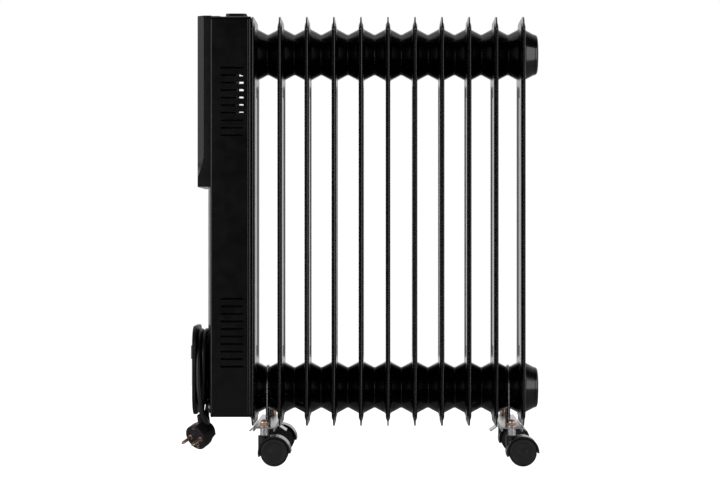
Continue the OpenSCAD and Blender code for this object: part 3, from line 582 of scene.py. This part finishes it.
def widen(y, z):
    """Scales what is selected about the middle of the fin."""
    bpy.ops.transform.resize(value=(1, y, z), center_override=(0, 0, fin_mid_z * MM))


# One pressed sheet: flat seam, raised channel, sunk middle, then its mirror twin.
pick_nothing()
bpy.ops.mesh.primitive_plane_add(size=1, location=(MM, 0, fin_mid_z * MM),
                                 rotation=(0, math.pi / 2, 0))
pressing = bpy.context.object
settle(pressing)
bpy.ops.object.mode_set(mode="EDIT")
bpy.ops.mesh.select_all(action="SELECT")
widen(fin_w * MM, fin_h * MM)
bpy.ops.mesh.bevel(offset=fin_corner * MM, segments=10, affect="VERTICES")
bpy.ops.mesh.select_mode(type="FACE")
bpy.ops.mesh.select_all(action="SELECT")
bpy.ops.mesh.inset(thickness=2.2 * MM)
bpy.ops.mesh.inset(thickness=4.2 * MM)
widen(124 / 137.2, 1.003)
bpy.ops.mesh.inset(thickness=1.4 * MM)
push(0.5, 0, 0)
bpy.ops.mesh.inset(thickness=2.2 * MM)
push(1.2, 0, 0)
bpy.ops.mesh.inset(thickness=1.8 * MM)
push(0.55, 0, 0)
bpy.ops.mesh.inset(thickness=0.2 * MM)
widen(82 / 113, 386 / 540)
bpy.ops.mesh.inset(thickness=1.6 * MM)
push(-0.5, 0, 0)
bpy.ops.mesh.inset(thickness=2.4 * MM)
push(-1.1, 0, 0)
bpy.ops.mesh.inset(thickness=1.8 * MM)
push(-0.4, 0, 0)
bpy.ops.mesh.inset(thickness=0.2 * MM)
widen(0.62, 0.93)
bpy.ops.mesh.inset(thickness=1.2 * MM)
push(0.9, 0, 0)
edge_y, edge_low, edge_high = fin_w / 2 * MM, fin_low.z * MM, fin_high.z * MM


def on_rim(place):
    """True for a point on the outline of the fin, rounded corners included."""
    y, z = abs(place.y), place.z
    corner = fin_corner * MM
    over_y = y - (edge_y - corner)
    over_z = max((edge_low + corner) - z, z - (edge_high - corner))
    if over_y > 0 and over_z > 0:
        return math.hypot(over_y, over_z) > corner - 0.5 * MM
    return y > edge_y - 0.01 * MM or z < edge_low + 0.01 * MM or z > edge_high - 0.01 * MM


pick_edges(pressing, lambda a, b: on_rim(a) and on_rim(b))
bpy.ops.mesh.extrude_region_move(TRANSFORM_OT_translate={"value": (-MM, 0, 0)})
bpy.ops.object.mode_set(mode="OBJECT")

cones = []
for column in (low_column, high_column):
    cones.append(turned([(2.9, 39.4), (3.3, 38.2), (3.9, 37.0), (4.9, 36.1), (6.5, 35.2),
                         (17.6, 29.3), (18.2, 29.0), (18.6, 29.15), (fin_half, 29.2)],
                        (0, 0, column), (1, 0, 0), 96))
welds = [turned([(1.35, 0), (2.3, 0.2), (2.2, 3.2), (1.6, 4.4), (1.0, 4.9)], (0, y, z), (1, 0, 0),
                20) for z in (208, 273, 338, 403, 468) for y in (-22, 22)]
pressing = together(pressing, *cones, *welds)
apply_tool(pressing, "MIRROR", use_axis=(True, False, False), merge_threshold=0.02 * MM)

# The folded hems on the fin's two upright edges, with the rear corner drawn in.
hem_y, hem_half, hem_end = 73, 2, 17
hems = []
for side in (-1, 1):
    hem = block((-1.3, side * hem_y - hem_half, fin_low.z + hem_end),
                (2.2, side * hem_y + hem_half, fin_high.z - hem_end), 0)
    open_up(hem)
    pick_edges(hem, lambda a, b: min(a.x, b.x) > 0 and min(side * a.y, side * b.y) > hem_y * MM)
    push(0, -1.5 * side, 0)
    bpy.ops.object.mode_set(mode="OBJECT")
    apply_tool(hem, "BEVEL", width=1.2 * MM, segments=5)
    hems.append(hem)
pressing = together(pressing, *hems)
open_up(pressing)
bpy.ops.mesh.select_all(action="SELECT")
bpy.ops.mesh.remove_doubles(threshold=0.01 * MM)
bpy.ops.mesh.normals_make_consistent(inside=False)
bpy.ops.object.mode_set(mode="OBJECT")
apply_tool(pressing, "BEVEL", width=0.35 * MM, segments=2, limit_method="ANGLE",
           angle_limit=math.radians(50))

for number, node in enumerate(fin_names):
    fin = copy_along(pressing, (first_fin_x + pitch * number) * MM)
    fit_out(fin, "pressed_fin_" + node[-2:], "root", enamel, [node])
bpy.data.objects.remove(pressing)

last_fin_x = first_fin_x + (len(fin_names) - 1) * pitch
rear_x, front_x = last_fin_x + fin_half, first_fin_x - fin_half
cap_profile = [(-0.3, 29.2), (0.2, 29.0), (0.6, 28.7), (1.6, 28.4), (2.9, 27.6), (3.8, 26.2),
               (4.3, 24.2), (4.4, 22), (4.2, 19.5), (3.6, 17), (3.2, 15), (3.2, 7.5), (3.3, 6.6),
               (4.4, 6.2), (4.6, 5.4), (4.6, 2.6), (3.9, 2.2), (3.9, 0)]
cap_pieces = [turned(cap_profile, (rear_x, 0, column), (1, 0, 0), 72)
              for column in (low_column, high_column)]
cap_pieces.append(turned(cap_profile, (front_x, 0, high_column), (-1, 0, 0), 72))
fit_out(together(*cap_pieces), "pressed_column_caps", "root", enamel, ["column_caps"])

# --------------------------------------------------------------- control box

fit_out(softened("housing_shell", 0.3), "box_case", "root", powder, ["housing_shell"])
fit_out(softened("front_panel", 0.25), "bowed_panel", "root", powder, ["front_panel"])

# The fascia's side bevels narrow over their last part and run out above the lower edge.
bevel_w, bevel_run_out = 9, 8.2
run_out_rises = (14, 18, 22, 26, 30, 35, 40, 46)
fascia = softened("control_fascia", 0)
face_low, face_high = spot("control_fascia")
open_up(fascia)
for rise in run_out_rises:
    bpy.ops.mesh.select_all(action="SELECT")
    bpy.ops.mesh.bisect(plane_co=(0, 0, (face_low.z + rise) * MM), plane_no=(0, 0, 1))
bevel_edge = (face_low.x + bevel_w) * MM
run_out_low, run_out_high = run_out_rises[0], run_out_rises[-1]
form = bmesh.from_edit_mesh(fascia.data)
for corner in form.verts:
    below = run_out_high - corner.co.z / MM + face_low.z
    run_out = min(1.0, max(0.0, below / (run_out_high - run_out_low)))
    on_side = abs(abs(corner.co.y) - face_high.y * MM) < 0.1 * MM
    if on_side and abs(corner.co.x - bevel_edge) < 0.3 * MM:
        corner.co.x -= bevel_run_out * MM * run_out ** 1.6
bmesh.update_edit_mesh(fascia.data)
bpy.ops.object.mode_set(mode="OBJECT")
apply_tool(fascia, "BEVEL", width=0.5 * MM, segments=3, limit_method="ANGLE",
           angle_limit=math.radians(35))
fit_out(fascia, "moulded_fascia", "root", fascia_plastic, ["control_fascia"])
fit_out(softened("carry_grip", 0.9, 3), "grip_bar", "root", grip_plastic,
        ["carry_grip"])

box_low, box_high = spot("housing_shell")
box_corner = 5


def hoop(x, radius, inset):
    """A rolled bead that follows the box's outline at one place along the row."""
    corner = box_corner - inset
    half_y, half_z = (box_high.y - box_low.y) / 2 - inset, (box_high.z - box_low.z) / 2 - inset
    mid_z = (box_low.z + box_high.z) / 2
    bead = bpy.data.curves.new("bead", "CURVE")
    bead.dimensions = "3D"
    bead.bevel_depth = radius * MM
    bead.bevel_resolution = 2
    points = []
    for quarter, (y, z) in enumerate(((1, 1), (-1, 1), (-1, -1), (1, -1))):
        for step in range(7):
            a = math.pi / 2 * (quarter + step / 6)
            points.append((x, y * (half_y - corner) + corner * math.cos(a),
                           mid_z + z * (half_z - corner) + corner * math.sin(a)))
    track = bead.splines.new("POLY")
    track.points.add(len(points) - 1)
    track.use_cyclic_u = True
    for point, place in zip(track.points, points):
        point.co = (*(Vector(place) * MM), 1)
    piece = bpy.data.objects.new("bead", bead)
    bpy.context.scene.collection.objects.link(piece)
    take(piece)
    bpy.ops.object.convert(target="MESH")
    return bpy.context.object


beads = together(hoop(box_high.x - 0.7, 0.9, 0.6), hoop(box_high.x - 3.6, 0.4, 0.1),
                 hoop(box_low.x + 1.4, 1.75, 1.45))
fit_out(beads, "rolled_box_edges", "root", powder)

# ------------------------------------------------------------------ controls

knob_low, knob_high = spot("thermostat_knob")
fascia_x = spot("control_fascia")[0].x
knob_z = (knob_low.z + knob_high.z) / 2
knob_r = (knob_high.z - knob_low.z) / 2
tip_x = knob_low.x
base_x = fascia_x + 5.4
reach = base_x - tip_x
knob = turned([(0.2, 0), (0, knob_r - 1.6), (0.4, knob_r - 0.5), (1.4, knob_r),
               (reach - 5.6, knob_r - 0.6), (reach - 4.6, knob_r - 1.2),
               (reach - 4.2, knob_r - 2.4), (reach - 4.6, knob_r - 5), (reach - 6.0, knob_r * 0.5),
               (reach - 6.3, 0)], (base_x, 0, knob_z), (-1, 0, 0), 96)
bar = block((tip_x, -5.5, 3.2 - knob_r), (tip_x + 8, 5.5, knob_r - 3.2), 1.6, 4)
open_up(bar)
pick_faces(bar, lambda middle, normal: normal.x < -0.9)
bpy.ops.mesh.inset(thickness=1.1 * MM)
push(0.4, 0, 0)
bpy.ops.object.mode_set(mode="OBJECT")
low_stop = -135
turn_dial(bar, low_stop, knob_z)
ribs = [turn_dial(block((base_x - reach + 6.0, knob_r - 0.9, -0.55),
                        (base_x - 1.8, knob_r - 0.05, 0.55), 0.25, 2), 9 * step, knob_z)
        for step in range(40)]
spindle = turned([(0, 0), (0, 3), (knob_high.x - base_x, 3), (knob_high.x - base_x, 0)],
                 (base_x, 0, knob_z), (1, 0, 0), 32)
fit_out(together(knob, bar, *ribs, spindle), "dial_knob", "thermostat_knob",
        knob_plastic, ["thermostat_knob"])
pointer = turn_dial(block((tip_x + 0.15, -0.8, 6), (tip_x + 1.2, 0.8, knob_r - 5), 0.25, 2),
                    low_stop, knob_z)
fit_out(pointer, "pointer_line", "thermostat_knob", mark_paint)

tick_r, long_tick, short_tick = knob_r + 6.6, 3.4, 2.2
ticks = []
for step in range(10):
    length = short_tick if step % 3 else long_tick
    tick = block((fascia_x - 0.12, -0.45, tick_r), (fascia_x + 0.4, 0.45, tick_r + length), 0.05, 1)
    ticks.append(turn_dial(tick, low_stop + 30 * step, knob_z))
fit_out(together(*ticks), "dial_ticks", "root", mark_paint)

for rocker in ("rocker_low", "rocker_high"):
    fit_out(softened(rocker, 0.7, 3), rocker + "_cap", rocker, rocker_plastic,
            [rocker])
fit_out(softened("switch_bodies", 0.35), "switch_frames", "root", switch_plastic,
        ["switch_bodies"])
lens_low, lens_high = spot("pilot_lens")
lens_z = (lens_low.z + lens_high.z) / 2
lens = turned([(-5.8, 0), (-5.8, 4), (0.1, 4), (0.1, 4.8), (0.5, 4.9), (1.0, 4.3), (1.6, 3),
               (1.9, 1.4), (2.0, 0)], (fascia_x, 0, lens_z), (-1, 0, 0), 40)
fit_out(lens, "pilot_dome", "root", lens_plastic, ["pilot_lens"])

# ------------------------------------------------------------------ cord reel

flange_low, flange_high = spot("reel_flange")
flange_corner = 30
flange = block(flange_low, flange_high, 0)
open_up(flange)
pick_edges(flange, lambda a, b: abs(a.x - b.x) > MM)
bpy.ops.mesh.bevel(offset=flange_corner * MM, segments=14)
pick_faces(flange, lambda middle, normal: normal.x < -0.9)
bpy.ops.mesh.inset(thickness=5.6 * MM)
bpy.ops.mesh.inset(thickness=1.2 * MM)
push(1.3, 0, 0)
bpy.ops.mesh.inset(thickness=12 * MM)
bpy.ops.mesh.inset(thickness=1.0 * MM)
push(-0.7, 0, 0)
bpy.ops.object.mode_set(mode="OBJECT")
apply_tool(flange, "BEVEL", width=1.1 * MM, segments=4, limit_method="ANGLE",
           angle_limit=math.radians(50))
fit_out(flange, "rounded_flange", "root", reel_plastic, ["reel_flange"])
fit_out(softened("cord_reel", 0.3), "reel_hub", "root", reel_plastic, ["cord_reel"])
fit_out(softened("plug_clip", 0.4, 3), "pin_clip", "root", reel_plastic,
        ["plug_clip"])

relief = turned([(0, 3.45), (0, 3.9), (0.6, 4.3), (3.6, 4.45), (4, 3.95), (5, 3.95), (5.4, 4.5),
                 (8.6, 4.65), (9, 4.15), (10, 4.15), (10.4, 4.7), (13.6, 4.85), (14, 4.35),
                 (15, 4.35), (15.4, 4.95), (19, 5.1), (24.2, 5.1), (24.2, 0)],
                (strand_x, exit_y, exit_z), (0, 1, 0), 40)
relief_low, relief_high = spot("strain_relief")
relief_foot = block((relief_low.x, exit_y + 24, exit_z - 7),
                    (relief_high.x, exit_y + 36, exit_z + 7), 1.0, 3)
fit_out(together(relief, relief_foot), "ringed_strain_relief", "root", cord_skin,
        ["strain_relief"])

# ------------------------------------------------------------------- the plug

plug_turn = Euler([math.radians(a) for a in (-6, 25, 229)], "XYZ").to_matrix().to_4x4()
plug_place = Matrix.Translation(Vector((-239.7, -18, 30)) * MM) @ plug_turn


def hang_plug(piece):
    """Turns a shape drawn with its pins along +X to the way the plug hangs."""
    piece.data.transform(plug_place)


head = turned([(-0.4, 0), (-0.4, 15.4), (0, 15.7), (0, 17.9), (-0.7, 18.5), (-12.5, 18.3),
               (-15.8, 17.6), (-16.6, 16.5), (-18.6, 15.9), (-24, 14.2), (-28.6, 12.6),
               (-29.8, 11.2), (-30, 9), (-30, 0)], (0, 0, 0), (1, 0, 0), 72)
ribs = []
for side in (-1, 1):
    for step in range(4):
        ribs.append(block((-27 + 3.1 * step, side * (12.6 + 0.9 * step) - 1.4, -6.5),
                          (-25.6 + 3.1 * step, side * (12.6 + 0.9 * step) + 1.4, 6.5), 0.5, 3))
boot = turned([(2, 7.6), (9, 7.4), (12.5, 6.9), (13.2, 6.1), (14.2, 6.1), (14.8, 6.6), (17.2, 6.3),
               (17.8, 5.5), (18.8, 5.5), (19.4, 6.0), (21.8, 5.7), (22.4, 4.9), (23.4, 4.9),
               (24, 5.4), (26.4, 5.1), (27, 4.6), (27, 3.3), (24, 3.3)], (-20, 0, 0), (0, 0, 1), 40)
collar = block((-25.5, -9.5, 6), (-13.5, 9.5, 15.6), 2.6, 4)
plug = together(head, boot, collar, *ribs)
hang_plug(plug)
fit_out(plug, "moulded_plug", "root", plug_skin, ["plug_body"])

# Two pins, the earth strips in the plug's sides and the rim of the earth socket.
pin_y = 9.5
pins = []
for side in (-1, 1):
    pins.append(turned([(-2, 0), (-2, 2.4), (14.6, 2.4), (16.2, 2.25), (18.0, 1.7), (18.8, 1.0),
                        (19, 0)], (0, side * pin_y, 0), (1, 0, 0), 32))
    sleeve = turned([(-0.4, 0), (-0.4, 3.6), (0.5, 3.5), (0.7, 2.5)], (0, side * pin_y, 0),
                    (1, 0, 0), 32)
    pins.append(sleeve)
    strip = block((-12.6, -2.6, side * 17.8 - 0.5), (-0.6, 2.6, side * 17.8 + 0.5), 0.25, 2)
    lip = block((-1.0, -2.6, side * 16.2 - 1.9), (-0.1, 2.6, side * 16.2 + 1.9), 0.25, 2)
    pins += [strip, lip]
pins.append(turned([(-0.6, 2.55), (0.15, 2.6), (0.3, 3.1), (0.1, 3.6), (-0.6, 3.6)], (0, 0, -9.5),
                   (1, 0, 0), 32))
contacts = together(*pins)
hang_plug(contacts)
fit_out(contacts, "plug_pins_and_earth", "root", contact_metal, ["plug_contacts"])

# ------------------------------------------------------------ feet and casters

corners = ("front_left", "front_right", "rear_left", "rear_right")
for end in ("front", "rear"):
    fit_out(softened("foot_plate_" + end, 0.3), "plated_foot_" + end, "root", chrome,
            ["foot_plate_" + end])
fit_out(softened("u_bolts", 0.15), "clamp_rods", "root", chrome, ["u_bolts"])
fit_out(softened("caster_stems", 0.25), "swivel_stems", "root", chrome, ["caster_stems"])

rod_r = 2
rods_low, rods_high = spot("u_bolts")
rod_y = (rods_high.y - rods_low.y) / 2 - rod_r
foot_xs = [sum(corner.x for corner in spot("foot_plate_" + end)) / 2 for end in ("front", "rear")]
foot_top = spot("foot_plate_front")[1].z
stem_y = 107
rod_nuts, cap_nuts = [], []
for x in foot_xs:
    for side in (-1, 1):
        nut = turned([(-5.4, 2.05), (-5.4, 3.3), (-4.9, 4.2), (-2.5, 4.3), (-2.0, 3.9),
                      (-2.0, 2.05)], (x, side * rod_y, foot_top), (0, 0, 1), 6)
        washer = turned([(-2.3, 2.1), (-2.35, 5.4), (-2.0, 5.5), (-2.0, 2.1)],
                        (x, side * rod_y, foot_top), (0, 0, 1), 32)
        rod_nuts += [nut, washer]
        skirt = turned([(0, 4.2), (0, 6.4), (0.5, 6.9), (1.1, 6.7), (1.2, 5.6)],
                       (x, side * stem_y, foot_top), (0, 0, 1), 48)
        flats = turned([(0.9, 0), (0.9, 5.9), (1.5, 6.5), (5.0, 6.5), (5.7, 5.6), (5.7, 0)],
                       (x, side * stem_y, foot_top), (0, 0, 1), 6)
        dome = turned([(5.2, 5.4), (6.6, 5.2), (8.0, 4.5), (9.2, 3.3), (10.0, 1.8), (10.2, 0)],
                      (x, side * stem_y, foot_top), (0, 0, 1), 48)
        cap_nuts += [skirt, flats, dome]
fit_out(together(*rod_nuts), "rod_nuts_and_washers", "root", chrome, ["u_bolt_nuts"])
fit_out(together(*cap_nuts), "domed_cap_nuts", "root", copper_plate, ["dome_nuts"])

for corner in corners:
    fit_out(softened("hood_" + corner, 0.45, 3), "glossy_hood_" + corner, "caster_" + corner,
            hood_nylon, ["hood_" + corner])
    for which, way in (("outer", 1), ("inner", -1)):
        node = f"wheel_{which}_{corner}"
        low, high = spot(node)
        middle = (low + high) / 2
        r = (high.z - low.z) / 2
        half = (high.y - low.y) / 2
        face = way * (-1 if corner.endswith("left") else 1)
        wheel = turned([(half - 0.5, 0), (half - 0.5, 1.2), (half - 0.1, 1.7), (half - 0.1, 5.4),
                        (half - 0.7, 6.0), (half - 0.9, 6.8), (half - 0.9, 13.0),
                        (half - 0.7, 13.8), (half - 0.05, 14.4), (half, 15.0), (half, r - 1.6),
                        (half - 0.5, r - 0.6), (half - 1.6, r), (0.7, r), (0.5, r - 0.35),
                        (-0.5, r - 0.35), (-0.7, r), (1.6 - half, r), (0.5 - half, r - 0.6),
                        (-half, r - 1.6), (-half, 4), (-half + 0.6, 3.1), (half - 3, 3.05)], middle,
                       (0, face, 0), 96)
        fit_out(wheel, f"grooved_wheel_{which}_{corner}", node, wheel_nylon, [node])

# --------------------------------------------------------------------- screws

reel_screws = [(flange_low.x + 1.5, side * 26, wind_z - 36) for side in (-1, 1)]
box_screws = [(box_low.x - 2.4, side * 69, box_low.z + 14) for side in (-1, 1)]
heads = []
for x, y, z in reel_screws + box_screws:
    head = turned([(-1.6, 0), (-1.6, 3.2), (0, 3.2), (0.5, 3.0), (1.0, 2.3), (1.2, 1.2), (1.25, 0)],
                  (x, y, z), (-1, 0, 0), 32)
    for a in (0, math.pi / 2):
        slot_bar = block((-2.2, -1.9, -0.35), (-0.7, 1.9, 0.35), 0)
        slot_place = Matrix.Translation(Vector((x, y, z)) * MM) @ Matrix.Rotation(a, 4, "X")
        slot_bar.data.transform(slot_place)
        apply_tool(head, "BOOLEAN", operation="DIFFERENCE", object=slot_bar, solver="EXACT")
        bpy.data.objects.remove(slot_bar)
    heads.append(head)
fit_out(together(*heads), "cross_slot_screws", "root", zinc, ["panel_screws"])

# ------------------------------------- pieces that keep the shape of the drawing

# The inner chassis takes the near-black steel that paints the shade behind the vent slots.
kept = {"heating_element": drawn_steel, "element_gasket": fibre, "thermostat": thermoset,
        "inner_chassis": slot_shade_steel, "terminal_block": thermoset, "thermal_cutout": drawn_steel,
        "tip_switch": switch_plastic, "wiring": lead_sleeve}
for corner in corners:
    kept["axle_" + corner] = drawn_steel
for node, finish in kept.items():
    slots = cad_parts[node].data.materials
    for number in range(len(slots)):
        slots[number] = finish
    if not len(slots):
        slots.append(finish)

# --------------------------------------------------------------------- studio

pick_nothing()
bpy.ops.mesh.primitive_circle_add(vertices=96, radius=1.7, fill_type="NGON")
floor = bpy.context.object
floor.name = "studio_floor"
paper, tree, shader, place = start_finish("pale paper")
tooth = noise(tree, place, 260.0, 4.0, 0.6)
tree.links.new(blended(tree, tooth, (0.6, 0.6, 0.6, 1), (0.66, 0.66, 0.66, 1)),
               shader.inputs["Base Color"])
shader.inputs["Emission Color"].default_value = (1, 1, 1, 1)
tree.links.new(add(tree, "ShaderNodeLightPath").outputs["Is Camera Ray"],
               shader.inputs["Emission Strength"])
tree.links.new(spread(tree, tooth, 0.3, 0.7, 0.75, 0.9), shader.inputs["Roughness"])
raised(tree, shader, tooth, 0.05, 0.3)
floor.data.materials.append(paper)

world = bpy.data.worlds.new("studio")
bpy.context.scene.world = world
world.use_nodes = True
air = world.node_tree
air.nodes.clear()
seen = add(air, "ShaderNodeLightPath").outputs["Is Camera Ray"]
glow = add(air, "ShaderNodeBackground")
glow.inputs["Color"].default_value = (1, 1, 1, 1)
way = add(air, "ShaderNodeSeparateXYZ")
air.links.new(add(air, "ShaderNodeTexCoord").outputs["Generated"], way.inputs[0])
around = spread(air, way.outputs["Y"], 0.2, 0.95, 0.02, 0.6)
air.links.new(maths(air, "MAXIMUM", seen, around), glow.inputs["Strength"])
air.links.new(glow.outputs[0], add(air, "ShaderNodeOutputWorld").inputs[0])


def softbox(name, place, power, width, height, aim=(0, 0, 0.3)):
    lamp = bpy.data.lights.new(name, "AREA")
    lamp.shape = "RECTANGLE"
    lamp.size, lamp.size_y, lamp.energy = width, height, power
    lit = bpy.data.objects.new(name, lamp)
    lit.location = place
    lit.rotation_euler = (Vector(aim) - Vector(place)).to_track_quat("-Z", "Y").to_euler()
    bpy.context.scene.collection.objects.link(lit)


softbox("left softbox", (-2.4, -1.9, 0.45), 42, 1.6, 3.2)
softbox("right softbox", (2.5, -1.8, 0.45), 34, 1.6, 3.2)
softbox("left side softbox", (-2.7, -0.1, 0.6), 12, 1.8, 2.4)
softbox("right side softbox", (2.8, 0.0, 0.6), 9, 1.8, 2.4)
softbox("overhead softbox", (0, 0.5, 2.4), 4, 2.4, 1.4)
softbox("left strip", (-0.85, -3.0, 0.4), 2, 0.35, 2.0)
softbox("right strip", (0.95, -3.0, 0.4), 2, 0.35, 2.0)
bpy.context.scene.view_settings.view_transform = "Standard"
